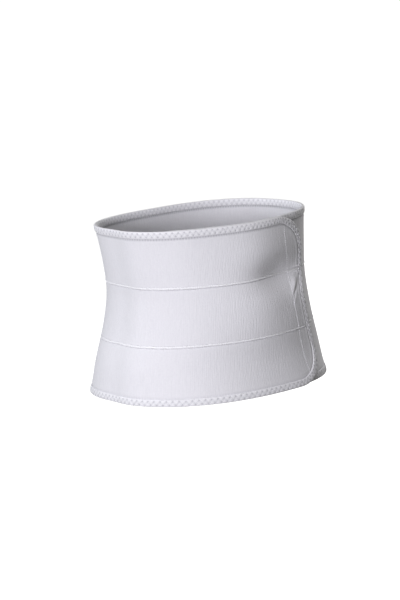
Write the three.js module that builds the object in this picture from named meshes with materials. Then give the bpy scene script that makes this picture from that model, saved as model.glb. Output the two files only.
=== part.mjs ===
// An elastic abdominal binder, in the shape that it takes round a standing torso.
// It is a long flat belt: three level strips of elastic, two raised seams that join them, one
// folded tape that binds the whole outline, and a hook patch behind the outer end.
// The belt is drawn flat and then wound a little more than once round the body, so that its outer
// end lies over its own first turn. Three flat measures place every point:
//   along  from the inner end, in the direction in which the belt is wound
//   up     from the belt's middle line
//   out    from the middle of the fabric's thickness, away from the body
// In space +Z is up, the wearer faces -Y, and the wearer's left is +X. The origin is the middle of
// the torso opening, at half the belt's height.
import * as THREE from "three";

// Driving sizes, in millimetres and degrees.
const BINDER_HEIGHT = 229;
const WAIST_BREADTH = 268;
const WAIST_DEPTH = 216;
const FRONT_SQUARENESS = 2.33; // 2 is an ellipse, and more is squarer
const BACK_SQUARENESS = 2.6;
const OUTER_END_ANGLE = 41.5; // from the front of the body towards the wearer's left
const OVERLAP_LENGTH = 263;
const PANEL_THICKNESS = 2;
const TAPE_THICKNESS = 1;
const BINDING_WIDTH = 9.5;
const BINDING_ROUNDING = 0.9;
const CORNER_RADIUS = 50;
const SEAM_WIDTH = 2.4;
const SEAM_PROUD = 0.6;
const PATCH_WIDTH = 25;
const PATCH_THICKNESS = 1.8;
const PATCH_MARGIN = 2; // between the binding and the patch
const PATCH_GAP = 0.4; // between the patch and the strips in front of it
const CLEARANCE = 0.3; // between pieces that touch on the real binder
const LAYER_GAP = 0.6; // between the two turns
const RAMP_LENGTH = 45; // over which the belt climbs onto its own first turn
const RAMP_LEAD = 4; // the climb ends this far before the inner end

// How finely the cloth is divided.
const SEGMENTS_PER_TURN = 50;
const CORNER_SEGMENTS = 8;
const STRIP_ROWS = 5;
const GIRTH_STEPS = 360;

// The torso at several heights. Level is a share of the binder's height from its lower edge, and
// breadth, depth and sway (how far back the middle lies) are shares of the waist's sizes.
const BODY_LEVELS = [
  { level: 0.0, breadth: 1.186, depth: 1.214, sway: 0.0141 },
  { level: 0.2, breadth: 1.139, depth: 1.1, sway: 0.0077 },
  { level: 0.4, breadth: 1.045, depth: 1.05, sway: -0.0086 },
  { level: 0.6, breadth: 1.0, depth: 1.0, sway: -0.0193 },
  { level: 0.78, breadth: 1.027, depth: 0.976, sway: -0.0139 },
  { level: 1.0, breadth: 1.076, depth: 0.996, sway: 0.0053 },
];

// Soft forms of the body that both turns follow: the rounded belly, a hollow under the ribs, and a
// faint one where the belt bridges the groin. Angle is in degrees from the front towards the
// wearer's left, width and rise are shares of the waist's breadth and depth, and level and height
// are shares of the binder's height.
const BODY_FORMS = [
  { angle: -4.8, level: 0.657, width: 0.238, height: 0.463, rise: 0.0518 },
  { angle: 9.6, level: 0.666, width: 0.228, height: 0.098, rise: -0.0616 },
  { angle: 27.7, level: 0.293, width: 0.077, height: 0.204, rise: -0.0036 },
];

// The outer end buckles at the waist: its edge is drawn back and stands off the turn below.
// Level, above and below are shares of the binder's height: the buckle fades faster above its
// level than below it. The rest are shares of the overlap's length.
const END_TUCK = { level: 0.52, above: 0.085, below: 0.26, reach: 0.27, draw: 0.057, lift: 0.01 };

// Sizes that follow from them.
const PANEL_FACE = PANEL_THICKNESS / 2;
const BINDING_SOCKET = PANEL_FACE + CLEARANCE;
const BINDING_FACE = BINDING_SOCKET + TAPE_THICKNESS;
const PANEL_INSET = TAPE_THICKNESS + CLEARANCE;
const PATCH_INSET = BINDING_WIDTH + PATCH_MARGIN;
const HALF_HEIGHT = BINDER_HEIGHT / 2;
const SEAM_LEVEL = BINDER_HEIGHT / 6; // three strips of equal height
const SEAM_SLOT = SEAM_WIDTH / 2 + CLEARANCE;
const PATCHED_DEPTH = PANEL_THICKNESS + SEAM_PROUD + PATCH_THICKNESS + PATCH_GAP + CLEARANCE;
const LAYER_PITCH = Math.max(2 * BINDING_FACE + LAYER_GAP, PATCHED_DEPTH);

const WHITE_ELASTIC = { color: 0xe6e5ec, roughness: 0.9, metalness: 0 };
const WHITE_TAPE = { color: 0xe9e8ef, roughness: 0.82, metalness: 0 };
const WHITE_HOOKS = { color: 0xdddde2, roughness: 0.7, metalness: 0 };

const radians = THREE.MathUtils.degToRad;
const smoothstep = THREE.MathUtils.smoothstep;
const bell = (offset, spread) => Math.exp(-((offset / spread) ** 2));

// A smooth curve through one column of the table of body levels.
function bodyColumn(column, level) {
  const rows = BODY_LEVELS;
  const last = rows.length - 1;
  const slopeAt = (i) => {
    const before = rows[Math.max(i - 1, 0)];
    const after = rows[Math.min(i + 1, last)];
    return (after[column] - before[column]) / (after.level - before.level);
  };
  let i = 0;
  while (i < last - 1 && level > rows[i + 1].level) i += 1;
  const span = rows[i + 1].level - rows[i].level;
  const x = (level - rows[i].level) / span;
  const rise = rows[i + 1][column] - rows[i][column];
  const ease = x * x * (3 - 2 * x);
  const bend = x * (1 - x) * span;
  return rows[i][column] + rise * ease + bend * ((1 - x) * slopeAt(i) - x * slopeAt(i + 1));
}

// How far the soft forms stand out at one place on the body.
function formRise(angle, level) {
  let rise = 0;
  for (const form of BODY_FORMS) {
    const turned = angle - radians(form.angle);
    const fromMiddle = Math.atan2(Math.sin(turned), Math.cos(turned)) * (WAIST_BREADTH / 2);
    const sideways = bell(fromMiddle, form.width * WAIST_BREADTH);
    const upwards = bell(level - form.level, form.height);
    rise += form.rise * WAIST_DEPTH * sideways * upwards;
  }
  return rise;
}

// A point at a distance out from the torso: a squared ellipse, moved along its own normal.
function bodyPoint(angle, up, out) {
  const level = up / BINDER_HEIGHT + 0.5;
  const halfBreadth = (bodyColumn("breadth", level) * WAIST_BREADTH) / 2;
  const halfDepth = (bodyColumn("depth", level) * WAIST_DEPTH) / 2;
  const side = Math.sin(angle);
  const front = -Math.cos(angle);
  const squareness = front < 0 ? FRONT_SQUARENESS : BACK_SQUARENESS;
  const power = (value, exponent) => Math.sign(value) * Math.abs(value) ** exponent;
  const reach = (
    Math.abs(side / halfBreadth) ** squareness + Math.abs(front / halfDepth) ** squareness
  ) ** (-1 / squareness);
  const normal = new THREE.Vector2(
    power((reach * side) / halfBreadth, squareness - 1) / halfBreadth,
    power((reach * front) / halfDepth, squareness - 1) / halfDepth,
  ).normalize();
  const away = out + formRise(angle, level);
  return new THREE.Vector3(
    reach * side + away * normal.x,
    reach * front + away * normal.y + bodyColumn("sway", level) * WAIST_DEPTH,
    up,
  );
}

// The distance round the first turn's middle line, added up at equal angles from the front.
function measureGirth() {
  const distances = [0];
  let last = bodyPoint(0, 0, BINDING_FACE);
  for (let i = 1; i <= GIRTH_STEPS; i += 1) {
    const next = bodyPoint((2 * Math.PI * i) / GIRTH_STEPS, 0, BINDING_FACE);
    distances.push(distances[i - 1] + next.distanceTo(last));
    last = next;
  }
  return distances;
}

const girth = measureGirth();
const TURN_LENGTH = girth[GIRTH_STEPS];
const BELT_LENGTH = TURN_LENGTH + OVERLAP_LENGTH;

function girthAt(angle) {
  const place = (angle / (2 * Math.PI)) * GIRTH_STEPS;
  const i = Math.floor(place);
  return THREE.MathUtils.lerp(girth[i], girth[i + 1], place - i);
}

function angleAt(distance) {
  const turns = Math.floor(distance / TURN_LENGTH);
  const rest = distance - turns * TURN_LENGTH;
  let i = 0;
  while (girth[i + 1] < rest) i += 1;
  const share = (rest - girth[i]) / (girth[i + 1] - girth[i]);
  return 2 * Math.PI * (turns + (i + share) / GIRTH_STEPS);
}

const INNER_END_DISTANCE = girthAt(radians(OUTER_END_ANGLE)) - OVERLAP_LENGTH;
const PATCH_START = BELT_LENGTH - PATCH_INSET - PATCH_WIDTH;

// A point of the flat belt, wound round the body.
function wound(along, up, out) {
  const reach = END_TUCK.reach * OVERLAP_LENGTH;
  const higher = up / BINDER_HEIGHT + 0.5 - END_TUCK.level;
  const atLevel = bell(higher, higher > 0 ? END_TUCK.above : END_TUCK.below);
  const tuck = atLevel * smoothstep(along, BELT_LENGTH - reach, BELT_LENGTH);
  const drawnBack = along - tuck * END_TUCK.draw * OVERLAP_LENGTH;
  const rampEnd = TURN_LENGTH - RAMP_LEAD;
  const climb = LAYER_PITCH * smoothstep(along, rampEnd - RAMP_LENGTH, rampEnd);
  const standOff = BINDING_FACE + climb + tuck * END_TUCK.lift * OVERLAP_LENGTH;
  return bodyPoint(angleAt(drawnBack + INNER_END_DISTANCE), up, standOff + out);
}

// The flat outline, moved inwards by an inset: how high it reaches at a place along the belt.
function outlineHeight(along, inset) {
  const fromEnd = Math.min(along, BELT_LENGTH - along);
  const radius = CORNER_RADIUS - inset;
  const sideways = Math.max(CORNER_RADIUS - fromEnd, 0);
  const rise = Math.sqrt(Math.max(radius * radius - sideways * sideways, 0));
  return HALF_HEIGHT - CORNER_RADIUS + rise;
}

// Places between the rounded corners, at equal steps, with one at each end of the climb.
function straightStations() {
  const step = TURN_LENGTH / SEGMENTS_PER_TURN;
  const first = Math.ceil(CORNER_RADIUS / step + 0.4);
  const last = Math.floor((BELT_LENGTH - CORNER_RADIUS) / step - 0.4);
  const stations = [];
  for (let i = first; i <= last; i += 1) stations.push(i * step);
  const rampEnd = TURN_LENGTH - RAMP_LEAD;
  stations.push(rampEnd, rampEnd - RAMP_LENGTH);
  return stations.sort((a, b) => a - b);
}

// Places from the inner end to the outer one for a piece that stops at an inset from the outline.
function stationsWithin(inset) {
  const radius = CORNER_RADIUS - inset;
  const corner = [];
  for (let i = 0; i <= CORNER_SEGMENTS; i += 1) {
    corner.push(CORNER_RADIUS - radius * Math.cos((Math.PI / 2) * (i / CORNER_SEGMENTS)));
  }
  const farCorner = corner.map((fromEnd) => BELT_LENGTH - fromEnd);
  return [...corner, ...straightStations(), ...farCorner, PATCH_START].sort((a, b) => a - b);
}

// A closed body through rings of points. Each ring runs up its outer side and down its inner one,
// so that a point and its partner across the ring close the two ends in strips. Both sides are
// split along the same diagonals, which keeps layers that lie on each other apart.
function bodyThrough(rings, isLoop) {
  const size = rings[0].length;
  const faces = [];
  const quad = (a, b, c, d) => faces.push(a, b, c, a, c, d);
  const bands = isLoop ? rings.length : rings.length - 1;
  for (let i = 0; i < bands; i += 1) {
    const here = i * size;
    const next = ((i + 1) % rings.length) * size;
    for (let j = 0; j < size; j += 1) {
      const k = (j + 1) % size;
      if (j < size / 2) quad(here + j, next + j, next + k, here + k);
      else quad(next + j, next + k, here + k, here + j);
    }
  }
  const farEnd = (rings.length - 1) * size;
  for (let j = 0; !isLoop && j < size / 2 - 1; j += 1) {
    const partner = size - 1 - j;
    quad(j, j + 1, partner - 1, partner);
    quad(farEnd + partner, farEnd + partner - 1, farEnd + j + 1, farEnd + j);
  }
  const geometry = new THREE.BufferGeometry().setFromPoints(rings.flat());
  geometry.setIndex(faces);
  geometry.computeVertexNormals();
  return geometry;
}

// The rows of points across the three strips, lowest first, at one place along the belt.
function stripRows(along, inset) {
  const outline = outlineHeight(along, inset);
  const strips = [
    [-outline, -SEAM_LEVEL - SEAM_SLOT],
    [SEAM_SLOT - SEAM_LEVEL, SEAM_LEVEL - SEAM_SLOT],
    [SEAM_LEVEL + SEAM_SLOT, outline],
  ];
  const shares = Array.from({ length: STRIP_ROWS + 1 }, (_, row) => row / STRIP_ROWS);
  return strips.map(([low, high]) => shares.map((share) => THREE.MathUtils.lerp(low, high, share)));
}

// A sheet of cloth through rows of points, with an inner and an outer face.
function clothSheet(stations, rowsAt, innerFace, outerFace) {
  const rings = stations.map((along) => {
    const rows = rowsAt(along);
    const outer = rows.map((up) => wound(along, up, outerFace));
    const inner = rows.map((up) => wound(along, up, innerFace));
    return [...outer, ...inner.reverse()];
  });
  return bodyThrough(rings, false);
}

// One strip of elastic: bounded by a seam, or by the belt's outline where it is an outer strip.
function panelGeometry(strip) {
  const rowsAt = (along) => stripRows(along, PANEL_INSET)[strip];
  return clothSheet(stationsWithin(PANEL_INSET), rowsAt, -PANEL_FACE, PANEL_FACE);
}

// A join between two strips: a ridge on the outer side, flush where the binding's tape covers it.
function seamGeometry(level) {
  const rings = stationsWithin(PANEL_INSET).map((along) => {
    const fromEnd = Math.min(along, BELT_LENGTH - along);
    const proud = SEAM_PROUD * smoothstep(fromEnd, BINDING_WIDTH, 2 * BINDING_WIDTH);
    const half = SEAM_WIDTH / 2;
    const section = [
      [-half, PANEL_FACE],
      [0, PANEL_FACE + proud],
      [half, PANEL_FACE],
      [half, -PANEL_FACE],
      [0, -PANEL_FACE],
      [-half, -PANEL_FACE],
    ];
    return section.map(([across, out]) => wound(along, level + across, out));
  });
  return bodyThrough(rings, false);
}

// The outline, walked once round: each place has a point on the edge and the way inwards.
function outlineWalk() {
  const walk = [];
  const centreUp = HALF_HEIGHT - CORNER_RADIUS;
  const corner = (centreAlong, centreLevel, firstQuarter) => {
    for (let i = 0; i <= CORNER_SEGMENTS; i += 1) {
      const turn = (Math.PI / 2) * (firstQuarter + i / CORNER_SEGMENTS);
      const outwards = new THREE.Vector2(Math.cos(turn), Math.sin(turn));
      const edge = new THREE.Vector2(centreAlong, centreLevel);
      edge.addScaledVector(outwards, CORNER_RADIUS);
      walk.push({ edge, inwards: outwards.negate() });
    }
  };
  const straight = (edge, inwards) => walk.push({ edge, inwards });
  const run = straightStations();
  const climbs = stripRows(PANEL_INSET, PANEL_INSET).flat().slice(1, -1);

  run.forEach((along) => straight(new THREE.Vector2(along, -HALF_HEIGHT), new THREE.Vector2(0, 1)));
  corner(BELT_LENGTH - CORNER_RADIUS, -centreUp, -1);
  climbs.forEach((up) => straight(new THREE.Vector2(BELT_LENGTH, up), new THREE.Vector2(-1, 0)));
  corner(BELT_LENGTH - CORNER_RADIUS, centreUp, 0);
  run.reverse();
  run.forEach((along) => straight(new THREE.Vector2(along, HALF_HEIGHT), new THREE.Vector2(0, -1)));
  corner(CORNER_RADIUS, centreUp, 1);
  climbs.reverse();
  climbs.forEach((up) => straight(new THREE.Vector2(0, up), new THREE.Vector2(1, 0)));
  corner(CORNER_RADIUS, -centreUp, 2);
  return walk;
}

// The binding: a tape folded over the edge of the fabric, carried once round the outline.
function bindingGeometry() {
  const section = [
    [0, BINDING_FACE - BINDING_ROUNDING],
    [BINDING_ROUNDING, BINDING_FACE],
    [BINDING_WIDTH, BINDING_FACE],
    [BINDING_WIDTH, BINDING_SOCKET],
    [TAPE_THICKNESS, BINDING_SOCKET],
    [TAPE_THICKNESS, -BINDING_SOCKET],
    [BINDING_WIDTH, -BINDING_SOCKET],
    [BINDING_WIDTH, -BINDING_FACE],
    [BINDING_ROUNDING, -BINDING_FACE],
    [0, BINDING_ROUNDING - BINDING_FACE],
  ];
  const rings = outlineWalk().map(({ edge, inwards }) =>
    section.map(([inset, out]) => {
      const point = edge.clone().addScaledVector(inwards, inset);
      return wound(point.x, point.y, out);
    }),
  );
  return bodyThrough(rings, true);
}

// The hook patch: a strip sewn behind the outer end, inside the binding.
function patchGeometry() {
  const patchEnd = BELT_LENGTH - PATCH_INSET;
  const stations = stationsWithin(PANEL_INSET).filter(
    (along) => along >= PATCH_START && along < patchEnd - PATCH_MARGIN,
  );
  stations.push(patchEnd);
  const rowsAt = (along) => stripRows(along, PATCH_INSET).flat();
  const outerFace = -PANEL_FACE - PATCH_GAP;
  return clothSheet(stations, rowsAt, outerFace - PATCH_THICKNESS, outerFace);
}

function piece(name, geometry, finish) {
  const mesh = new THREE.Mesh(geometry, new THREE.MeshStandardMaterial(finish));
  mesh.name = name;
  return mesh;
}

function buildBinder() {
  const binder = new THREE.Group();
  binder.add(
    piece("lower_panel", panelGeometry(0), WHITE_ELASTIC),
    piece("middle_panel", panelGeometry(1), WHITE_ELASTIC),
    piece("upper_panel", panelGeometry(2), WHITE_ELASTIC),
    piece("lower_seam", seamGeometry(-SEAM_LEVEL), WHITE_TAPE),
    piece("upper_seam", seamGeometry(SEAM_LEVEL), WHITE_TAPE),
    piece("edge_binding", bindingGeometry(), WHITE_TAPE),
    piece("hook_patch", patchGeometry(), WHITE_HOOKS),
  );
  return binder;
}

export default buildBinder();
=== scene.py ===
"""An elastic abdominal binder, dressed for its render.

The binder is a flat belt of three sewn strips, wound a little more than once round a torso.
All of its pieces are drawn flat and wound by the same function, so they keep together.
"""

import math

import bpy
import numpy as np
from mathutils import Matrix


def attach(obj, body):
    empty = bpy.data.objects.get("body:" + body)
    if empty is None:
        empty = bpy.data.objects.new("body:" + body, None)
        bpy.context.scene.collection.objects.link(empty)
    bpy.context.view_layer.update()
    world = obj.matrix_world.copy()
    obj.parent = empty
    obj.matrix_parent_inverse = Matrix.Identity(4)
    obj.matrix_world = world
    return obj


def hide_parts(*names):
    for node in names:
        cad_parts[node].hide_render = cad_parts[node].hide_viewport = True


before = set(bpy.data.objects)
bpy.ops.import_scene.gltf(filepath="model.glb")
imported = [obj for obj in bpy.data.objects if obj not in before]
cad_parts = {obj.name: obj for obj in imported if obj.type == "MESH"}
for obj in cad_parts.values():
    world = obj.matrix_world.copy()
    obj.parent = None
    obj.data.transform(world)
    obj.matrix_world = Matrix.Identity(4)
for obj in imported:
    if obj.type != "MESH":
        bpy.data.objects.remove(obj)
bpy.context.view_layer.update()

# The winding. The belt is cut and sewn flat, then stretched round the waist with its outer end
# over its own first turn. A place on the flat belt is "along" from the inner end, "up" from the
# middle line and "out" from the middle of the cloth, in metres, with the wearer's front at -Y.
BINDER_HEIGHT = 0.229
HALF_HEIGHT = BINDER_HEIGHT / 2
WAIST_BREADTH = 0.268
WAIST_DEPTH = 0.216
FRONT_SQUARENESS = 2.33
BACK_SQUARENESS = 2.6
OUTER_END_ANGLE = math.radians(41.5)
OVERLAP_LENGTH = 0.263
CLOTH_FACE = 0.001
TAPE_FACE = 0.0023
BINDING_WIDTH = 0.0095
CORNER_RADIUS = 0.050
LAYER_PITCH = 0.0052
RAMP_LENGTH = 0.045
RAMP_LEAD = 0.004

# The torso: each level's share of the height, its breadth and depth as shares of the waist's, and
# how far it sways back, as a share of the waist's depth.
BODY_LEVELS = np.array(
    [
        (0.0, 1.186, 1.214, 0.0141),
        (0.2, 1.139, 1.1, 0.0077),
        (0.4, 1.045, 1.05, -0.0086),
        (0.6, 1.0, 1.0, -0.0193),
        (0.78, 1.027, 0.976, -0.0139),
        (1.0, 1.076, 0.996, 0.0053),
    ]
)
BREADTH, DEPTH, SWAY = 1, 2, 3

# The belly's rise and two hollows: degrees from the front, the level, the width as a share of the
# waist's breadth, the height as a share of the belt's, and the rise as a share of the waist's depth.
BODY_FORMS = [
    (-4.8, 0.657, 0.238, 0.463, 0.0518),
    (9.6, 0.666, 0.228, 0.098, -0.0616),
    (27.7, 0.293, 0.077, 0.204, -0.0036),
]

# Where the outer end buckles, in shares of the height, and how far, in shares of the overlap.
TUCK_LEVEL, TUCK_ABOVE, TUCK_BELOW = 0.52, 0.085, 0.26
TUCK_REACH, TUCK_DRAW, TUCK_LIFT = 0.27, 0.057, 0.01

# In metres: how far the cloth leans back over the top of the patch, where the patch's sewing lies
# from the outer end, and the heights of the low steps and of the slow waves. A wave has its metres
# to a radian along and upwards, and the radians that it starts with.
LEAN_DRAW = 0.006
PATCH_LINE = 0.0335
PATCH_LINE_RISE = 0.00022
INNER_END_RISE = 0.0002
WAVE_HEIGHT = 0.00012
SLOW_WAVES = ((0.031, 0.045, 0.0), (0.019, -0.06, 2.0), (0.053, 0.021, 4.0))

# The folds at that end: where the ridge starts, from the end and up, its way aside and upwards,
# and how high each stands. A wrinkle has its level and its share of the full size.
RIDGE_START, RIDGE_LEVEL = 0.0302, 0.013
RIDGE_ASIDE, RIDGE_UPWARDS = 0.686, 0.726
RIDGE_RISE, VALLEY_FALL, SECOND_RISE, WRINKLE_RISE = 0.0022, 0.0006, 0.0007, 0.0014
WRINKLES = ((0.0405, 1.0), (0.0365, 0.8), (0.0325, 0.6))


def bell(offset, spread):
    """A bell curve: 1 in the middle, and e to the power -1 at one spread from it."""
    return np.exp(-((offset / spread) ** 2))


def eased(value, low, high):
    """From 0 at low to 1 at high, level at both: three squares less two cubes of the share."""
    share = np.clip((value - low) / (high - low), 0, 1)
    return share * share * (3 - 2 * share)


def body_column(column, level):
    """A cubic through each pair of levels, whose slope at a level is that of its neighbours."""
    knots, values = BODY_LEVELS[:, 0], BODY_LEVELS[:, column]
    places = np.arange(len(knots))
    before, after = np.maximum(places - 1, 0), np.minimum(places + 1, len(knots) - 1)
    slopes = (values[after] - values[before]) / (knots[after] - knots[before])
    i = np.clip(np.searchsorted(knots, level, side="left") - 1, 0, len(knots) - 2)
    span = knots[i + 1] - knots[i]
    x = (level - knots[i]) / span
    rise = (values[i + 1] - values[i]) * x * x * (3 - 2 * x)
    bend = x * (1 - x) * span * ((1 - x) * slopes[i] - x * slopes[i + 1])
    return values[i] + rise + bend


def body_point(angle, up, out):
    """A squared ellipse at each level, squarer at the back, moved outwards along its own normal.

    The body's forms are added to that move: each is a bell across times a bell upwards.
    """
    level = up / BINDER_HEIGHT + 0.5
    half_breadth = body_column(BREADTH, level) * WAIST_BREADTH / 2
    half_depth = body_column(DEPTH, level) * WAIST_DEPTH / 2
    side, front = np.sin(angle), -np.cos(angle)
    squareness = np.where(front < 0, FRONT_SQUARENESS, BACK_SQUARENESS)
    reach = (
        np.abs(side / half_breadth) ** squareness + np.abs(front / half_depth) ** squareness
    ) ** (-1 / squareness)
    x, y = reach * side, reach * front
    normal_x = np.sign(x) * np.abs(x / half_breadth) ** (squareness - 1) / half_breadth
    normal_y = np.sign(y) * np.abs(y / half_depth) ** (squareness - 1) / half_depth
    length = np.hypot(normal_x, normal_y)
    away = out + np.zeros_like(x)
    for degrees, middle, width, height, rise in BODY_FORMS:
        turned = angle - math.radians(degrees)
        aside = np.arctan2(np.sin(turned), np.cos(turned)) * WAIST_BREADTH / 2
        shape = bell(aside, width * WAIST_BREADTH) * bell(level - middle, height)
        away = away + rise * WAIST_DEPTH * shape
    sway = body_column(SWAY, level) * WAIST_DEPTH
    return np.stack(
        [x + away * normal_x / length, y + away * normal_y / length + sway, up + 0 * x], axis=-1
    )


GIRTH_ANGLES = np.linspace(0, 2 * np.pi, 361)
first_turn = body_point(GIRTH_ANGLES, np.zeros_like(GIRTH_ANGLES), TAPE_FACE)
girth = np.append(0, np.cumsum(np.linalg.norm(np.diff(first_turn, axis=0), axis=1)))
TURN_LENGTH = girth[-1]
BELT_LENGTH = TURN_LENGTH + OVERLAP_LENGTH
INNER_END_DISTANCE = np.interp(OUTER_END_ANGLE, GIRTH_ANGLES, girth) - OVERLAP_LENGTH


def flat_inset(along, up):
    """How far inside the belt's outline a flat place lies: that of a box with rounded corners."""
    aside = np.abs(along - BELT_LENGTH / 2) - BELT_LENGTH / 2 + CORNER_RADIUS
    above = np.abs(up) - HALF_HEIGHT + CORNER_RADIUS
    outside = np.hypot(np.maximum(aside, 0), np.maximum(above, 0))
    return CORNER_RADIUS - outside - np.minimum(np.maximum(aside, above), 0)


def pucker(from_end, up):
    """The folds of the buckled outer end, beside its patch, in metres of rise.

    One ridge climbs from the patch's sewing to the binding: its left flank is a wide bell that
    broadens as it climbs, and its right flank a narrow one that runs into a valley, with a low
    second ridge beyond. Three small wrinkles above it are wedges that grow towards the binding.
    """
    aside, above = RIDGE_START - from_end, up - RIDGE_LEVEL
    across = aside * RIDGE_UPWARDS - above * RIDGE_ASIDE
    along = aside * RIDGE_ASIDE + above * RIDGE_UPWARDS
    left_flank = 0.004 + 0.3 * np.clip(along, 0, 0.020)
    ridge = bell(across, np.where(across < 0, left_flank, 0.0022)) * bell(along - 0.009, 0.011)
    valley = bell(across - 0.0052, 0.0022) * bell(along - 0.008, 0.016)
    second = bell(across - 0.0085, 0.0020) * bell(along + 0.001, 0.010)
    wedge = np.clip((0.026 - from_end) / 0.017, 0, 1) * eased(from_end, 0.005, 0.009)
    lines = sum(
        size * bell(up - height - 0.08 * from_end, 0.0011)
        for height, size in WRINKLES
    )
    folds = RIDGE_RISE * ridge - VALLEY_FALL * valley + SECOND_RISE * second
    return folds + WRINKLE_RISE * wedge * lines


def patch_line(up):
    """How far from the outer end its patch is sewn: further at the top and nearer at the bottom."""
    return PATCH_LINE + 0.004 * eased(up, 0.03, 0.08) - 0.0032 * eased(-up, 0, 0.04)


def drape(along, up):
    """How far worn cloth stands off a smooth winding.

    It is the sum of slow waves, a low step over the inner end's binding, another over the patch,
    which is weaker above the middle, and the folds at the outer end.
    """
    from_end = BELT_LENGTH - along
    slow = sum(np.sin(along / far + up / high + start) for far, high, start in SLOW_WAVES)
    inside = flat_inset(along - TURN_LENGTH, up)
    over_inner_end = eased(inside, -0.002, 0.003) - eased(inside, 0.009, 0.015)
    over_patch = eased(patch_line(up) + 0.0002 - from_end, -0.0022, -0.0004)
    patch_rise = PATCH_LINE_RISE * over_patch * (1 - 0.6 * eased(up, 0, 0.03))
    smooth = WAVE_HEIGHT * slow + INNER_END_RISE * over_inner_end + patch_rise
    return smooth + pucker(from_end, up)


def wound(along, up, out):
    """The flat belt wound round the torso, at a distance out from the middle of the cloth.

    Its way along the torso's girth gives an angle. It climbs by one layer onto its first turn, and
    its end is drawn back and lifted by a bell round the level where it buckles. The cloth over the
    top of the patch leans back as well.
    """
    from_end = BELT_LENGTH - along
    level = up / BINDER_HEIGHT + 0.5 - TUCK_LEVEL
    reach = TUCK_REACH * OVERLAP_LENGTH
    tuck = bell(level, np.where(level > 0, TUCK_ABOVE, TUCK_BELOW)) * eased(-from_end, -reach, 0)
    lean = LEAN_DRAW * bell(from_end - 0.036, 0.018) * eased(up, 0.045, 0.085)
    distance = along - tuck * TUCK_DRAW * OVERLAP_LENGTH - lean + INNER_END_DISTANCE
    turns = np.floor(distance / TURN_LENGTH)
    angle = np.interp(distance - turns * TURN_LENGTH, girth, GIRTH_ANGLES) + 2 * np.pi * turns
    ramp_end = TURN_LENGTH - RAMP_LEAD
    climb = LAYER_PITCH * eased(along, ramp_end - RAMP_LENGTH, ramp_end)
    stand_off = TAPE_FACE + climb + tuck * TUCK_LIFT * OVERLAP_LENGTH + drape(along, up)
    return body_point(angle, up, stand_off + out)


def make_piece(name, verts, faces, flat, corners, painted_shade=None):
    """An object at the origin from points and faces, with the flat belt's metres as its UV map.

    Its last argument says how much painted shade its material gives each point in the sewing, from 0
    to 1.
    """
    mesh = bpy.data.meshes.new(name)
    mesh.from_pydata(verts, [], faces)
    layer = mesh.uv_layers.new(name="belt")
    layer.data.foreach_set("uv", flat[corners].astype(np.float32).ravel())
    if painted_shade is not None:
        # The attribute holds painted shade, darker where a point lies deep in the sewing.
        shade_layer = mesh.attributes.new("painted_shade", "FLOAT", "POINT")
        shade_layer.data.foreach_set("value", painted_shade.astype(np.float32).ravel())
    mesh.shade_smooth()
    mesh.update()
    piece = bpy.data.objects.new(name, mesh)
    bpy.context.scene.collection.objects.link(piece)
    return piece


def solid(name, rings, flat, painted_shade, loop_turn=None):
    """A closed body through rings of points: each ring runs up the outer side and down the inner.

    Point j of ring i joins point j of ring i + 1. An open body's ends are closed by strips from
    each point to its partner across the ring; a loop's last ring joins its first, and there its
    UV map goes on by loop_turn.
    """
    count, size = rings.shape[:2]
    bands = count if loop_turn else count - 1
    i, j = np.meshgrid(np.arange(bands), np.arange(size), indexing="ij")
    near, far, following = i * size, (i + 1) % count * size, (j + 1) % size
    faces = np.stack([near + j, far + j, far + following, near + following], axis=-1)
    wide = size + 1
    unrolled = np.concatenate([flat, flat[:, :1]], axis=1)
    if loop_turn:
        unrolled = np.concatenate([unrolled, unrolled[:1] + [loop_turn, 0]])
    uv = np.stack(
        [i * wide + j, (i + 1) * wide + j, (i + 1) * wide + j + 1, i * wide + j + 1], axis=-1
    )
    faces, uv = faces.reshape(-1, 4), uv.reshape(-1, 4)
    if not loop_turn:
        row = np.arange(size // 2 - 1)
        partner = size - 1 - row
        first = np.stack([row, row + 1, partner - 1, partner], axis=-1)
        last = np.stack([partner, partner - 1, row + 1, row], axis=-1)
        faces = np.concatenate([faces, first, last + (count - 1) * size])
        uv = np.concatenate([uv, first, last + (count - 1) * wide])
    return make_piece(
        name, rings.reshape(-1, 3), faces, unrolled.reshape(-1, 2), uv.ravel(), painted_shade
    )


# The strips of elastic: three lengths of 3 inch knitted elastic, laid edge to edge. Upright ribs
# run from edge to edge where the rubber draws the knit together, and the cloth puffs up a little
# beside each line of sewing.
CLEARANCE = 0.0003
TAPE_THICKNESS = 0.001
SEAM_LEVEL = BINDER_HEIGHT / 6
SEAM_SLOT = 0.0015
STRIP_INSET = TAPE_THICKNESS + CLEARANCE
RIB_PITCH = 0.0023
RIB_HEIGHT = 0.00006
COLUMN_STEP = RIB_PITCH / 3
STRIP_FLAT_HEIGHT = BINDER_HEIGHT / 3
ELASTIC_WHITE = (0.80, 0.792, 0.835, 1)
# Painted shade for the valleys between ribs and loops, also the knit's random uneven tone.
ELASTIC_VALLEY_SHADE_AND_TONE = (0.70, 0.694, 0.742, 1)
# Painted shade beside the seams and the tape's edge, where the sewing sinks the cloth.
ELASTIC_SEWING_SHADE = (0.36, 0.355, 0.39, 1)
PULL_PITCH = 0.0035
# How much painted shade lies under a seam and beside the tape, in the upper and the lower half.
SHADE_UNDER_SEAM = (0.32, 0.12)
SHADE_BESIDE_TAPE = (1.0, 0.25)
ROWS_ACROSS = 20


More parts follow.
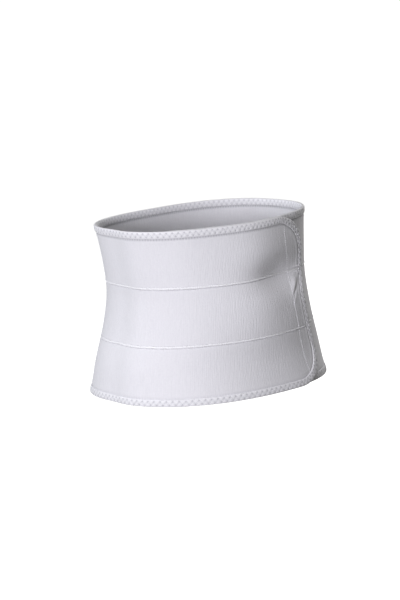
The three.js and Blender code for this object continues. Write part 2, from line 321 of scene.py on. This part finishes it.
class Value:
    """A number that changes over a surface: arithmetic on it adds the Math nodes."""

    def __init__(self, socket):
        self.socket = socket

    def joined(self, operation, other, swapped=False):
        """A Math node with this value and another, which may be a plain number, as its inputs."""
        tree = self.socket.id_data
        node = tree.nodes.new("ShaderNodeMath")
        node.operation = operation
        for target, end in zip(node.inputs, (other, self) if swapped else (self, other)):
            if isinstance(end, Value):
                tree.links.new(end.socket, target)
            else:
                target.default_value = end
        return Value(node.outputs[0])

    def __add__(self, other):
        return self.joined("ADD", other)

    def __radd__(self, other):
        return self.joined("ADD", other, swapped=True)

    def __sub__(self, other):
        return self.joined("SUBTRACT", other)

    def __rsub__(self, other):
        return self.joined("SUBTRACT", other, swapped=True)

    def __mul__(self, other):
        return self.joined("MULTIPLY", other)

    def __rmul__(self, other):
        return self.joined("MULTIPLY", other, swapped=True)

    def cosine(self):
        return self.joined("COSINE", 0.0)


class Finish:
    """A material, built node by node round its shader."""

    def __init__(self, name, **constants):
        self.material = bpy.data.materials.new(name)
        self.material.use_nodes = True
        self.tree = self.material.node_tree
        self.shader = self.tree.nodes["Principled BSDF"]
        for socket, value in constants.items():
            self.shader.inputs[socket.replace("_", " ")].default_value = value

    def add(self, kind, settings=None, sockets=None):
        """One node: its settings first, then a value or a link for each named socket."""
        node = self.tree.nodes.new("ShaderNode" + kind)
        for setting, value in (settings or {}).items():
            setattr(node, setting, value)
        self.join(node, sockets or {})
        return node

    def join(self, node, sockets):
        """Sets or links a node's sockets, each found by its name or its identifier."""
        for name, value in sockets.items():
            target = next(s for s in node.inputs if name in (s.identifier, s.name))
            if isinstance(value, Value):
                self.tree.links.new(value.socket, target)
            else:
                target.default_value = value

    def flat_belt(self):
        """The flat belt's measures, along and up, and both as one vector."""
        place = Value(self.add("UVMap", {"uv_map": "belt"}).outputs["UV"])
        parts = self.add("SeparateXYZ", sockets={"Vector": place})
        return Value(parts.outputs["X"]), Value(parts.outputs["Y"]), place

    def painted_shade(self):
        """How much painted shade a place has in the sewing, from the piece's own attribute."""
        return Value(self.add("Attribute", {"attribute_name": "painted_shade"}).outputs["Fac"])

    def noise(self, place, scale, detail):
        """Fractal noise from 0 to 1, with scale in lumps a metre."""
        node = self.add("TexNoise", sockets={"Vector": place, "Scale": scale, "Detail": detail})
        return Value(node.outputs["Fac"])

    def blend(self, share, first, second):
        """A colour between two colours."""
        sockets = {"Factor_Float": share, "A_Color": first, "B_Color": second}
        node = self.add("Mix", {"data_type": "RGBA"}, sockets)
        return Value(next(s for s in node.outputs if s.identifier == "Result_Color"))

    def finish(self, colour, roughness, height, relief):
        """Joins the shader to its colour, roughness and bump; relief is the bump's height."""
        bump = self.add("Bump", sockets={"Height": height, "Distance": relief, "Strength": 1.0})
        self.join(
            self.shader,
            {"Base Color": colour, "Roughness": roughness, "Normal": Value(bump.outputs[0])},
        )
        return self.material


def waves(value, pitch):
    """From 0 to 1 and back over each pitch, as a cosine."""
    return (value * (2 * math.pi / pitch)).cosine() * 0.5 + 0.5


def elastic_finish():
    """White knitted elastic: fine loops on each rib, a soft nap, and painted shade in the valleys.

    The ribs are cosines along the belt, set a little uneven by noise, and the loops a product of
    two cosines; the valleys between them are painted darker as shade. Upright streaks, patches and
    a mottle are noise, the knit's uneven tone. The sewing's hollows get darker painted shade still.
    """
    cloth = Finish(
        "white_ribbed_elastic", Sheen_Weight=0.2, Sheen_Roughness=0.6, Specular_IOR_Level=0.25
    )
    along, up, place = cloth.flat_belt()
    fuzz = cloth.noise(place, scale=1400, detail=3)
    upright = cloth.add("Mapping", sockets={"Vector": place, "Scale": (1.0, 0.16, 1.0)})
    streaks = cloth.noise(Value(upright.outputs[0]), scale=420, detail=3)
    patches = cloth.noise(place, scale=26, detail=3)
    mottle = cloth.noise(place, scale=420, detail=2)
    uneven = (patches - 0.5) * 0.0012 + (streaks - 0.5) * 0.0006
    ribs = waves(along + uneven, RIB_PITCH)
    loops = waves(along, RIB_PITCH / 4) * waves(up + ribs * 0.0004, 0.0008)
    height = loops * 0.4 + fuzz * 0.5 + ribs * 0.2 + streaks * 3.4 + mottle
    # Painted shade in the rib and loop valleys, mixed with the uneven tone of patches, nap, streaks
    # and mottle.
    shade = (1 - ribs) * 0.10 + (1 - loops) * 0.10 + patches * 0.16 + fuzz * 0.12 - 0.25
    shade = shade + (1 - streaks) * 0.7 + (mottle - 0.5) * 0.6
    colour = cloth.blend(shade, ELASTIC_WHITE, ELASTIC_VALLEY_SHADE_AND_TONE)
    # Painted shade beside the seams and the tape, from the piece's attribute.
    colour = cloth.blend(cloth.painted_shade(), colour, ELASTIC_SEWING_SHADE)
    return cloth.finish(colour, 0.86 + fuzz * 0.1, height, relief=0.00012)


def seam_fading(from_end, level):
    """Where a seam sinks into the cloth: only the upper one, where the belt's end buckles."""
    return (1 - eased(from_end, 0.045, 0.085)) * (level > 0)


def under_seam(up):
    """Whether a place lies nearer to the underside of a seam than to the upper side of one."""
    return ((up < SEAM_LEVEL) & (up > 0)) | (up < -SEAM_LEVEL)


def strip_surface(along, up):
    """What a strip adds to the drape: upright ribs, and its dips and puffs beside the sewing.

    A rib is a cosine that fades beside the sewing. The dips and puffs are bells round the seams'
    and the tape's edges; near the outer end the cloth is pushed up to its tape instead.
    """
    to_binding = np.clip(flat_inset(along, up) - BINDING_WIDTH, 0, None)
    to_seam = np.clip(np.abs(np.abs(up) - SEAM_LEVEL) - SEAM_SLOT, 0, None)
    from_end = BELT_LENGTH - along
    clear = 1 - seam_fading(from_end, up)
    seam_dip = np.where(under_seam(up), 0.0005, -0.0001) * bell(to_seam, 0.0014) * clear
    pushed_up = eased(-from_end, -0.035, -0.020)
    binding_dip = (0.0004 - 0.0006 * pushed_up) * bell(to_binding, 0.0012)
    puff = 0.0004 * bell(to_binding - 0.0034, 0.0016)
    gap = np.minimum(to_binding, to_seam)
    ribs = RIB_HEIGHT * np.cos(along * 2 * np.pi / RIB_PITCH) * eased(gap, 0, 0.002)
    return 0.0002 + puff + ribs - seam_dip - binding_dip


def strip_painted_shade(along, up):
    """How much painted shade a strip has beside the sewing: bells along the tape's edge and under
    each seam.

    The tape's painted shade is a row of dashes, where its stitches pull. Both are painted darker in
    the upper half.
    """
    to_binding = flat_inset(along, up) - BINDING_WIDTH
    to_seam = np.abs(np.abs(up) - SEAM_LEVEL) - SEAM_SLOT
    clear = 1 - seam_fading(BELT_LENGTH - along, up)
    seam_shade_share = np.where(up > 0, *SHADE_UNDER_SEAM) * under_seam(up)
    pulls = 0.75 + 0.25 * np.sin(along * 2 * np.pi / PULL_PITCH)
    tape_shade_share = pulls * np.where(up > 0, *SHADE_BESIDE_TAPE)
    tape_edge_shade = bell(to_binding - 0.0003, 0.0011) * tape_shade_share
    return np.maximum(tape_edge_shade, seam_shade_share * bell(to_seam, 0.0010) * clear)


def strip_columns():
    """Places along a strip: equal steps of a third of a rib, and turned steps in its end corners."""
    radius = CORNER_RADIUS - STRIP_INSET
    corner = CORNER_RADIUS - radius * np.cos(np.radians(np.arange(0, 28, 3)))
    count = round((BELT_LENGTH - 2 * corner[-1]) / COLUMN_STEP)
    middle = np.linspace(corner[-1], BELT_LENGTH - corner[-1], count)
    return np.concatenate([corner[:-1], middle, (BELT_LENGTH - corner[:-1])[::-1]])


def strip_bounds(along, strip):
    """The lowest and highest place of a strip: a seam's slot, or the outline inside its tape."""
    radius = CORNER_RADIUS - STRIP_INSET
    from_end = np.minimum(along, BELT_LENGTH - along)
    beyond = np.maximum(CORNER_RADIUS - from_end, 0)
    outline = HALF_HEIGHT - CORNER_RADIUS + np.sqrt(np.maximum(radius**2 - beyond**2, 0))
    seam = np.full_like(along, SEAM_LEVEL)
    return [
        (-outline, -seam - SEAM_SLOT),
        (SEAM_SLOT - seam, seam - SEAM_SLOT),
        (seam + SEAM_SLOT, outline),
    ][strip]


def strip_rings(strip):
    """Rings across a strip, its outer face with ribs and its inner face with shallower ones."""
    margin = np.array([0, 0.0008, 0.0016, 0.0026, 0.0040, 0.0060, 0.0090])
    height = STRIP_FLAT_HEIGHT - 2 * SEAM_SLOT
    inner = np.linspace(margin[-1], height - margin[-1], ROWS_ACROSS)[1:-1]
    shares = np.concatenate([margin, inner, (height - margin)[::-1]]) / height
    along = strip_columns()
    low, high = strip_bounds(along, strip)
    up = low[:, None] + (high - low)[:, None] * shares
    along = np.repeat(along[:, None], len(shares), axis=1)
    surface = strip_surface(along, up)
    outer = wound(along, up, CLOTH_FACE + surface)
    inner = wound(along, up, 0.4 * surface - CLOTH_FACE)
    rings = np.concatenate([outer, inner[:, ::-1]], axis=1)
    flat = np.stack([along, up], axis=-1)
    # Painted shade beside the sewing, on both faces, for the material.
    painted_shade = strip_painted_shade(along, up)
    painted_shade = np.concatenate([painted_shade, painted_shade[:, ::-1]], axis=1)
    return rings, np.concatenate([flat, flat[:, ::-1]], axis=1), painted_shade


elastic = elastic_finish()
for strip, name in enumerate(["lower", "middle", "upper"]):
    piece = solid(name + "_elastic_strip", *strip_rings(strip))
    piece.data.materials.append(elastic)
    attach(piece, "root")
    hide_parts(name + "_panel")

# The seams: the strips' edges are brought together and overlocked, so that each join is a thin
# cord of white thread that stands proud of the outer face. Slanting stitches wrap it.
SEAM_HALF = 0.0013
SEAM_PROUD = 0.0008
OVERLOCK_PITCH = 0.0024
THREAD_WHITE = (0.95, 0.945, 0.975, 1)
THREAD_SHADE = (0.70, 0.695, 0.74, 1)
THREAD_SIDES = 4
OVERLOCK_RADIUS = 0.00026


def seam_standing(from_end, level):
    """How proud a seam stands: it sinks under the tape, and the upper one where its end buckles."""
    proud = SEAM_PROUD * eased(from_end, BINDING_WIDTH, 1.5 * BINDING_WIDTH)
    return proud * (1 - 0.9 * seam_fading(from_end, level))


def seam_rings(level):
    """A ridge carried along a level: a low arc outside, feet that fill its slot, a flatter back."""
    along = strip_columns()[::2]
    turn = np.radians(np.linspace(0, 180, 9))
    across = -SEAM_HALF * np.cos(turn)
    from_end = np.minimum(along, BELT_LENGTH - along)[:, None]
    proud = seam_standing(BELT_LENGTH - along[:, None], level) * eased(from_end, 0.009, 0.015)
    lumps = 1 + 0.12 * np.sin(along * 2 * np.pi / OVERLOCK_PITCH)[:, None]
    arc = CLOTH_FACE - 0.0002 + (proud * lumps + 0.0001) * np.sin(turn)
    back = 0.0002 - CLOTH_FACE - (0.25 * proud + 0.0001) * np.sin(turn)
    foot = np.full_like(arc[:, :1], CLOTH_FACE)
    outer = np.concatenate([foot - 0.0005, arc, foot + 0.00015], axis=1)
    inner = np.concatenate([-foot + 0.0003, back, -foot + 0.0003], axis=1)
    edge = SEAM_SLOT - 0.00006
    across = np.concatenate([[-edge], across, [edge]])
    wide = np.repeat(along[:, None], len(across), axis=1)
    up = level + across + 0 * wide
    rings = np.concatenate([wound(wide, up, outer), wound(wide, up, inner)[:, ::-1]], axis=1)
    flat = np.stack([wide, up], axis=-1)
    return rings, np.concatenate([flat, flat[:, ::-1]], axis=1), None


def stitches(name, paths, radius):
    """Short threads: each is a four-sided tube along its own row of flat points, ends closed.

    paths holds, for each thread, its points as along, up and out. A tube's side vector lies in
    the cloth, square to the thread's direction, and its other vector is the cloth's outwards.
    """
    count, points = paths.shape[:2]
    heading = np.gradient(paths, axis=1)
    aside = np.stack([-heading[..., 1], heading[..., 0]], axis=-1)
    aside /= np.linalg.norm(aside, axis=-1, keepdims=True) + 1e-12
    turn = 2 * np.pi * (np.arange(THREAD_SIDES) + 0.5) / THREAD_SIDES
    taper = np.ones(points)
    taper[[0, -1]] = 0.5
    size = (radius * taper)[None, :, None]
    flat = paths[:, :, None, :2] + aside[:, :, None, :] * (size * np.cos(turn))[..., None]
    out = paths[:, :, None, 2] + size * np.sin(turn)
    verts = wound(flat[..., 0], flat[..., 1], out)
    base = np.arange(count * points * THREAD_SIDES).reshape(count, points, THREAD_SIDES)
    following = np.roll(base, -1, axis=2)
    walls = np.stack([base[:, :-1], following[:, :-1], following[:, 1:], base[:, 1:]], axis=-1)
    faces = np.concatenate([walls.reshape(-1, 4), base[:, 0, ::-1], base[:, -1]])
    return make_piece(name, verts.reshape(-1, 3), faces, flat.reshape(-1, 2), faces.ravel())


def thread_finish():
    """White sewing thread: a fine twist, as slanting cosines, and a fuzz of noise."""
    thread = Finish("white_thread", Sheen_Weight=0.1)
    along, up, place = thread.flat_belt()
    twist = waves(along + up, 0.00045)
    fuzz = thread.noise(place, scale=2600, detail=2)
    # Painted shade in the twist's grooves; the fuzz is uneven tone.
    colour = thread.blend((1 - twist) * 0.35 + fuzz * 0.3, THREAD_WHITE, THREAD_SHADE)
    return thread.finish(colour, 0.66 + fuzz * 0.12, twist * 0.6 + fuzz * 0.4, relief=0.00006)


def overlock_paths(level):
    """Slanting wraps over the ridge: each climbs from one side of the seam to the other."""
    first = BINDING_WIDTH + 0.004
    starts = np.arange(first, BELT_LENGTH - first, OVERLOCK_PITCH)
    share = np.linspace(0, 1, 6)
    along = starts[:, None] + 0.0011 * share
    up = level + (2 * share - 1) * 0.0012 + 0 * along
    proud = seam_standing(BELT_LENGTH - along, level)
    sunk = 0.0004 * seam_fading(BELT_LENGTH - along, level)
    out = CLOTH_FACE - 0.0001 - sunk + proud * np.sin(np.pi * share)
    return np.stack([along, up, out], axis=-1)


thread = thread_finish()
for level, name in ((-SEAM_LEVEL, "lower"), (SEAM_LEVEL, "upper")):
    ridge = solid(name + "_seam_ridge", *seam_rings(level))
    ridge.data.materials.append(thread)
    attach(ridge, "root")
    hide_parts(name + "_seam")
    wraps = stitches(name + "_seam_overlock", overlock_paths(level), OVERLOCK_RADIUS)
    wraps.data.materials.append(thread)
    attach(wraps, "root")

# The edge binding: one soft woven tape, folded over the belt's edge and sewn on with a zigzag
# stitch that draws it into a row of dimples. It runs once round the whole outline, corners too.
ZIGZAG_PITCH = 0.0070
ZIGZAG_NEAR, ZIGZAG_FAR = 0.0024, 0.0071
BINDING_SOCKET = CLOTH_FACE + CLEARANCE
VALLEY_DEPTH = 0.00055
LOCKSTITCH_INSET = 0.0088
LOCKSTITCH_RADIUS = 0.00025
ZIGZAG_RADIUS = 0.00024
RINGS_A_STITCH = 9
TAPE_WHITE = (0.87, 0.865, 0.905, 1)
TAPE_SHADE = (0.54, 0.535, 0.58, 1)


def outline_corners():
    """The belt's flat outline, walked from the start of its lower edge: a rounded box."""
    quarter = np.linspace(0, np.pi / 2, 65)
    near, far = CORNER_RADIUS, BELT_LENGTH - CORNER_RADIUS
    high = HALF_HEIGHT - CORNER_RADIUS
    places = [np.array([[CORNER_RADIUS, -HALF_HEIGHT]])]
    for turn, centre in enumerate([(far, -high), (far, high), (near, high), (near, -high)]):
        angle = quarter + (turn - 1) * np.pi / 2
        arc = np.stack([np.cos(angle), np.sin(angle)], axis=-1)
        places.append(np.array(centre) + CORNER_RADIUS * arc)
    return np.concatenate(places)


outline = outline_corners()
outline_steps = np.append(0, np.cumsum(np.linalg.norm(np.diff(outline, axis=0), axis=1)))
OUTLINE_LENGTH = outline_steps[-1]
ZIGZAGS = round(OUTLINE_LENGTH / ZIGZAG_PITCH)
STITCH_PITCH = OUTLINE_LENGTH / ZIGZAGS


def on_outline(walked, inset):
    """A flat place at an inset from the outline: from the edge towards its corner's centre."""
    walked = walked % OUTLINE_LENGTH
    edge = np.stack([np.interp(walked, outline_steps, outline[:, k]) for k in (0, 1)], axis=-1)
    reach = np.array([BELT_LENGTH / 2 - CORNER_RADIUS, HALF_HEIGHT - CORNER_RADIUS])
    middle = np.array([BELT_LENGTH / 2, 0.0])
    centre = middle + np.clip(edge - middle, -reach, reach)
    return edge + (centre - edge) / CORNER_RADIUS * inset[..., None]


def zigzag(walked):
    """The inset of the zigzag stitch: it goes over and back once in each stitch pitch."""
    share = (walked / STITCH_PITCH) % 1
    return ZIGZAG_NEAR + (ZIGZAG_FAR - ZIGZAG_NEAR) * np.abs(2 * share - 1)


def drawn_in(walked, inset):
    """How far the sewing draws the tape in: a valley along the zigzag, deepest at its turns."""
    slope = 2 * (ZIGZAG_FAR - ZIGZAG_NEAR) / STITCH_PITCH
    valley = bell((inset - zigzag(walked)) / math.hypot(1, slope), 0.0008)
    share = (walked / STITCH_PITCH) % 1
    to_far = (np.minimum(share, 1 - share) * STITCH_PITCH, inset - ZIGZAG_FAR)
    to_near = (np.abs(share - 0.5) * STITCH_PITCH, inset - ZIGZAG_NEAR)
    turns = bell(np.hypot(*to_far), 0.0012) + bell(np.hypot(*to_near), 0.0012)
    return 0.65 * valley + 0.55 * turns


def tape_relief(walked, inset):
    """The tape's own surface: crowned, rounded off at the fold, and drawn in by the sewing."""
    crown = 0.0004 * np.sin(np.pi * np.clip(inset / BINDING_WIDTH, 0, 1)) ** 0.5
    loops = 0.00006 * np.cos(2 * np.pi * (4 * walked / STITCH_PITCH + inset / 0.003))
    drawn = VALLEY_DEPTH * drawn_in(walked, inset) * eased(inset, 0.0006, 0.0018)
    rounded = 0.0004 * (1 - eased(inset, 0.0005, 0.0028))
    return crown - rounded - drawn + loops * eased(inset, 0.0005, 0.0015)


def above_low_corner(up):
    """From 0 at the outer end's lower corner to 1 above it, where the tape is drawn tighter."""
    return eased(up, -0.095, -0.04)


def tape_press(flat, inset):
    """How far the tape's face sinks towards its inner edge.

    Its last two or three millimetres bend down to the cloth, and on the outer end, above the lower
    corner, the whole face slopes instead.
    """
    along, up = flat[..., 0], flat[..., 1]
    sloped = eased(along - BELT_LENGTH, -0.03, -0.012) * above_low_corner(up)
    bent = 0.0005 * eased(inset, 0.0068, 0.0094)
    return (1 - sloped) * bent + sloped * 0.0009 * inset / BINDING_WIDTH


def binding_rings():
    """The folded tape's section, carried round the outline in ninths of a stitch.

    The section starts at the fold, runs over the outer face to the tape's inner edge, round the
    slot that holds the cloth, and back over the inner face. Its dimples get painted shade, with
    twice as much at the outer end's upper corner.
    """
    fold = np.array([0.0, 0.00015, 0.0005])
    fold_out = np.array([0.0008, 0.0013, 0.0017])
    outer = np.array(
        [0.0011, 0.0018, 0.0025, 0.0032, 0.0040, 0.0048]
        + [0.0056, 0.0064, 0.0071, 0.0078, 0.0085, 0.0091]
    )
    inner = outer[::3]
    slot = np.array([BINDING_WIDTH, BINDING_WIDTH, 0.001, 0.001, BINDING_WIDTH, BINDING_WIDTH])
    lip, socket = 0.00145, BINDING_SOCKET
    slot_out = np.array([lip, socket, socket, -socket, -socket, -lip])
    inset = np.concatenate([fold, outer, slot, inner[::-1], fold[::-1]])
    outer_out, inner_out = np.full(len(outer), TAPE_FACE), np.full(len(inner), -TAPE_FACE)
    out = np.concatenate([fold_out, outer_out, slot_out, inner_out, -fold_out[::-1]])
    side = np.concatenate([0 * fold, np.sign(outer_out), 0 * slot, np.sign(inner_out), 0 * fold])
    walked = np.arange(RINGS_A_STITCH * ZIGZAGS) * STITCH_PITCH / RINGS_A_STITCH
    walked = np.repeat(walked[:, None], len(inset), axis=1)
    inset = np.repeat(inset[None], len(walked), axis=0)
    flat = on_outline(walked, inset)
    along, up = flat[..., 0], flat[..., 1]
    # Painted shade in the tape's dimples, up to twice as much at the outer end's upper corner.
    corner_shade_boost = eased(along - BELT_LENGTH, -0.07, -0.03) * eased(up, 0.03, 0.08)
    painted_shade = np.abs(side) * drawn_in(walked, inset) * (1 + corner_shade_boost)
    out = out + side * (tape_relief(walked, inset) - tape_press(flat, inset))
    return wound(along, up, out), np.stack([walked, inset], axis=-1), painted_shade


def tape_finish():
    """White woven tape: small slanting loops, with painted shade where the sewing draws it in."""
    tape = Finish("white_binding_tape", Sheen_Weight=0.15, Specular_IOR_Level=0.3)
    walked, inset, place = tape.flat_belt()
    loops = waves(walked + inset * 0.5, 0.0011) * waves(inset, 0.0009)
    fuzz = tape.noise(place, scale=1800, detail=3)
    # Painted shade in the loops' valleys and where the sewing draws the tape in; the fuzz is uneven
    # tone.
    shade = (1 - loops) * 0.10 + fuzz * 0.1 + tape.painted_shade() * 0.85
    colour = tape.blend(shade, TAPE_WHITE, TAPE_SHADE)
    return tape.finish(colour, 0.78 + fuzz * 0.14, loops * 0.6 + fuzz * 0.4, relief=0.00018)


def zigzag_paths(face):
    """The zigzag thread's legs: two in each pitch, with their ends sunk in the tape."""
    turns = np.arange(2 * ZIGZAGS) * STITCH_PITCH / 2
    share = np.linspace(0.04, 0.96, 5)
    walked = turns[:, None] + share * STITCH_PITCH / 2
    inset = zigzag(walked)
    flat = on_outline(walked, inset)
    dip = 0.00035 * (2 * share - 1) ** 4
    out = face * (TAPE_FACE + tape_relief(walked, inset) + 0.00012 - dip)
    return np.concatenate([flat, out[..., None]], axis=-1)


def lockstitch_paths(face):
    """The straight stitches beside the tape's inner edge: dashes with sunk ends.

    Above the lower corner they are pulled deeper.
    """
    starts = np.arange(2 * ZIGZAGS) * STITCH_PITCH / 2
    share = np.linspace(0, 1, 5)
    walked = starts[:, None] + (0.1 + 0.8 * share) * STITCH_PITCH / 2
    inset = np.full_like(walked, LOCKSTITCH_INSET)
    flat = on_outline(walked, inset)
    dip = 0.0004 * (2 * share - 1) ** 4
    sunk = tape_press(flat, inset) + 0.0004 * above_low_corner(flat[..., 1]) - 0.0001
    out = face * (TAPE_FACE + tape_relief(walked, inset) - sunk - dip)
    return np.concatenate([flat, out[..., None]], axis=-1)


binding = solid("edge_binding_tape", *binding_rings(), loop_turn=OUTLINE_LENGTH)
binding.data.materials.append(tape_finish())
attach(binding, "root")
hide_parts("edge_binding")
for face, side in ((1, "outer"), (-1, "inner")):
    for kind, paths, radius in (
        ("zigzag", zigzag_paths(face), ZIGZAG_RADIUS),
        ("lockstitch", lockstitch_paths(face), LOCKSTITCH_RADIUS),
    ):
        sewing = stitches(f"binding_{kind}_{side}", paths, radius)
        sewing.data.materials.append(thread)
        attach(sewing, "root")

# The hook patch: a band of small hooks sewn behind the outer end, which grips the napped cloth of
# the first turn. From outside only its line of stitches shows, two fingers from the end.
PATCH_INSET = BINDING_WIDTH + 0.002
PATCH_WIDTH = 0.025
PATCH_THICKNESS = 0.0018
PATCH_GAP = 0.0004
PATCH_ROWS = 60
PATCH_STITCH = 0.003
PATCH_STITCH_RADIUS = 0.00022
HOOK_WHITE = (0.76, 0.76, 0.79, 1)
HOOK_SHADE = (0.55, 0.55, 0.58, 1)


def patch_rings():
    """A slab behind the cloth: rows between the outline's corners, columns to its inner edge."""
    radius = CORNER_RADIUS - PATCH_INSET
    corner = CORNER_RADIUS - radius * np.cos(np.radians(np.linspace(0, 62, 24)))
    from_end = np.append(corner, np.linspace(corner[-1], PATCH_INSET + PATCH_WIDTH, 8)[1:])[::-1]
    along = BELT_LENGTH - from_end
    beyond = np.maximum(CORNER_RADIUS - from_end, 0)
    high = HALF_HEIGHT - CORNER_RADIUS + np.sqrt(np.maximum(radius**2 - beyond**2, 0))
    up = high[:, None] * np.linspace(-1, 1, PATCH_ROWS)
    along = np.repeat(along[:, None], PATCH_ROWS, axis=1)
    front = -CLOTH_FACE - PATCH_GAP
    outer = wound(along, up, front)
    inner = wound(along, up, front - PATCH_THICKNESS)
    rings = np.concatenate([outer, inner[:, ::-1]], axis=1)
    flat = np.stack([along, up], axis=-1)
    return rings, np.concatenate([flat, flat[:, ::-1]], axis=1), None


def hook_finish():
    """White hook tape: rows of tiny stubs, as a product of two cosines."""
    hooks = Finish("white_hook_tape")
    along, up, _ = hooks.flat_belt()
    stubs = waves(along, 0.0013) * waves(up, 0.0016)
    # Painted shade between the stubs.
    colour = hooks.blend(1 - stubs, HOOK_WHITE, HOOK_SHADE)
    return hooks.finish(colour, 0.55 + stubs * 0.1, stubs, relief=0.0004)


def patch_stitch_paths():
    """The patch's sewing, seen on the belt's outer face: a row of dashes up the patch's line."""
    span = HALF_HEIGHT - BINDING_WIDTH - 0.002
    starts = np.arange(-span, span - PATCH_STITCH, PATCH_STITCH)
    share = np.linspace(0, 1, 5)
    up = starts[:, None] + (0.1 + 0.8 * share) * PATCH_STITCH
    along = BELT_LENGTH - patch_line(up)
    dip = 0.0004 * (2 * share - 1) ** 4
    out = CLOTH_FACE + strip_surface(along, up) + 0.0002 - dip
    return np.stack([along, up, out], axis=-1)


patch = solid("hook_patch_tape", *patch_rings())
patch.data.materials.append(hook_finish())
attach(patch, "root")
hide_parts("hook_patch")
patch_sewing = stitches("hook_patch_sewing", patch_stitch_paths(), PATCH_STITCH_RADIUS)
patch_sewing.data.materials.append(thread)
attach(patch_sewing, "root")

# The studio: a pale floor that rises all round into a backdrop, and four soft lights: the key to
# the left of the camera, one behind at the left, a wide one at the right, and a weak one above. The
# room is dim and even, and the camera stands where the photograph was taken from.
FLOOR_LEVEL = -0.45
FLOOR_RADIUS = 7.0
CURVE_RADIUS = 2
WALL_HEIGHT = 4
BOWL_RINGS, BOWL_SPOKES = 33, 96


def bowl_points():
    """A flat disc that curves up into a wall: a quarter circle joins the two."""
    share = np.linspace(0, 1, BOWL_RINGS)
    angle = np.clip((share - 0.5) * 2, 0, 1) * np.pi / 2
    flat_radius = FLOOR_RADIUS - CURVE_RADIUS
    curve = flat_radius + CURVE_RADIUS * np.sin(angle)
    reach = np.where(share < 0.5, share * 2 * flat_radius, curve)
    wall = WALL_HEIGHT * np.clip(share - 0.9, 0, 1) * 10
    rise = FLOOR_LEVEL + CURVE_RADIUS * (1 - np.cos(angle)) + wall
    turn = np.linspace(0, 2 * np.pi, BOWL_SPOKES, endpoint=False)
    x, y = np.outer(reach, np.cos(turn)), np.outer(reach, np.sin(turn))
    return np.stack([x, y, np.outer(rise, np.ones_like(turn))], axis=-1)


bowl = bowl_points()
i, j = np.meshgrid(np.arange(BOWL_RINGS - 1), np.arange(BOWL_SPOKES), indexing="ij")
near, far, following = i * BOWL_SPOKES, (i + 1) * BOWL_SPOKES, (j + 1) % BOWL_SPOKES
bowl_faces = np.stack([near + j, far + j, far + following, near + following], axis=-1)
backdrop_mesh = bpy.data.meshes.new("studio_backdrop")
backdrop_mesh.from_pydata(bowl.reshape(-1, 3), [], bowl_faces.reshape(-1, 4))
backdrop_mesh.shade_smooth()
backdrop = bpy.data.objects.new("studio_backdrop", backdrop_mesh)
bpy.context.scene.collection.objects.link(backdrop)
backdrop.visible_diffuse = False
backdrop.visible_glossy = False
backdrop.visible_shadow = False
paper = Finish(
    "pale_paper",
    Base_Color=(0.9, 0.9, 0.9, 1),
    Roughness=1.0,
    Emission_Color=(1, 1, 1, 1),
    Emission_Strength=0.85,
)
backdrop.data.materials.append(paper.material)

scene = bpy.context.scene
scene.view_settings.view_transform = "Standard"
world = bpy.data.worlds.new("room")
world.use_nodes = True
room = world.node_tree.nodes["Background"]
room.inputs["Color"].default_value = (1.0, 0.99, 0.94, 1)
room.inputs["Strength"].default_value = 0.155
scene.world = world
LIGHT_DISTANCE = 3.0


def turned_towards(place, target):
    """The turn that points an object's own -Z from a place at a target, with +Y upwards."""
    away = np.asarray(place, float) - target
    away /= np.linalg.norm(away)
    right = np.cross((0, 0, 1), away)
    right /= np.linalg.norm(right)
    return np.stack([right, np.cross(away, right), away], axis=1)


def place_object(item, place, axes):
    """Puts a light or the camera at a place, with its axes as the columns of a turn."""
    matrix = np.eye(4)
    matrix[:3, :3] = axes
    matrix[:3, 3] = place
    item.matrix_world = Matrix(matrix)
    scene.collection.objects.link(item)


def direction(azimuth, elevation):
    """A unit vector from the front turned to an azimuth, and raised, both in degrees."""
    azimuth, elevation = math.radians(azimuth), math.radians(elevation)
    level = math.cos(elevation)
    return np.array(
        [math.sin(azimuth) * level, -math.cos(azimuth) * level, math.sin(elevation)]
    )


def soft_light(name, azimuth, elevation, size, power, colour):
    """A square area light, aimed at the binder from an azimuth and an elevation in degrees."""
    place = LIGHT_DISTANCE * direction(azimuth, elevation)
    light = bpy.data.lights.new(name, "AREA")
    light.size = size
    light.energy = power
    light.color = colour
    place_object(bpy.data.objects.new(name, light), place, turned_towards(place, np.zeros(3)))


soft_light(
    "key_light", azimuth=-62, elevation=7, size=0.55, power=71.5, colour=(0.962, 0.957, 1.0)
)
soft_light(
    "rear_light", azimuth=-150, elevation=20, size=1.0, power=23, colour=(0.90, 0.97, 1.0)
)
soft_light(
    "side_light", azimuth=108, elevation=6, size=1.0, power=44, colour=(1.0, 0.995, 0.98)
)
soft_light(
    "top_light", azimuth=-30, elevation=70, size=0.8, power=20, colour=(1.0, 0.99, 1.0)
)

CAMERA_AZIMUTH, CAMERA_ELEVATION, CAMERA_ROLL = -40.07, 9.957, 3.623
CAMERA_DISTANCE = 3.641
AIM_RIGHT, AIM_UP = -0.00934, -0.00271
SENSOR_WIDTH, FOCAL_LENGTH = 36, 161.5
back = direction(CAMERA_AZIMUTH, CAMERA_ELEVATION)
level_right = direction(CAMERA_AZIMUTH + 90, 0)
level_up = np.cross(back, level_right)
roll = math.radians(CAMERA_ROLL)
camera_right = math.cos(roll) * level_right - math.sin(roll) * level_up
camera_up = math.sin(roll) * level_right + math.cos(roll) * level_up
aim = AIM_RIGHT * camera_right + AIM_UP * camera_up
lens = bpy.data.cameras.new("camera")
lens.sensor_width = SENSOR_WIDTH
lens.lens = FOCAL_LENGTH
camera = bpy.data.objects.new("camera", lens)
camera_axes = np.stack([camera_right, camera_up, back], axis=1)
place_object(camera, aim + CAMERA_DISTANCE * back, camera_axes)
scene.camera = camera
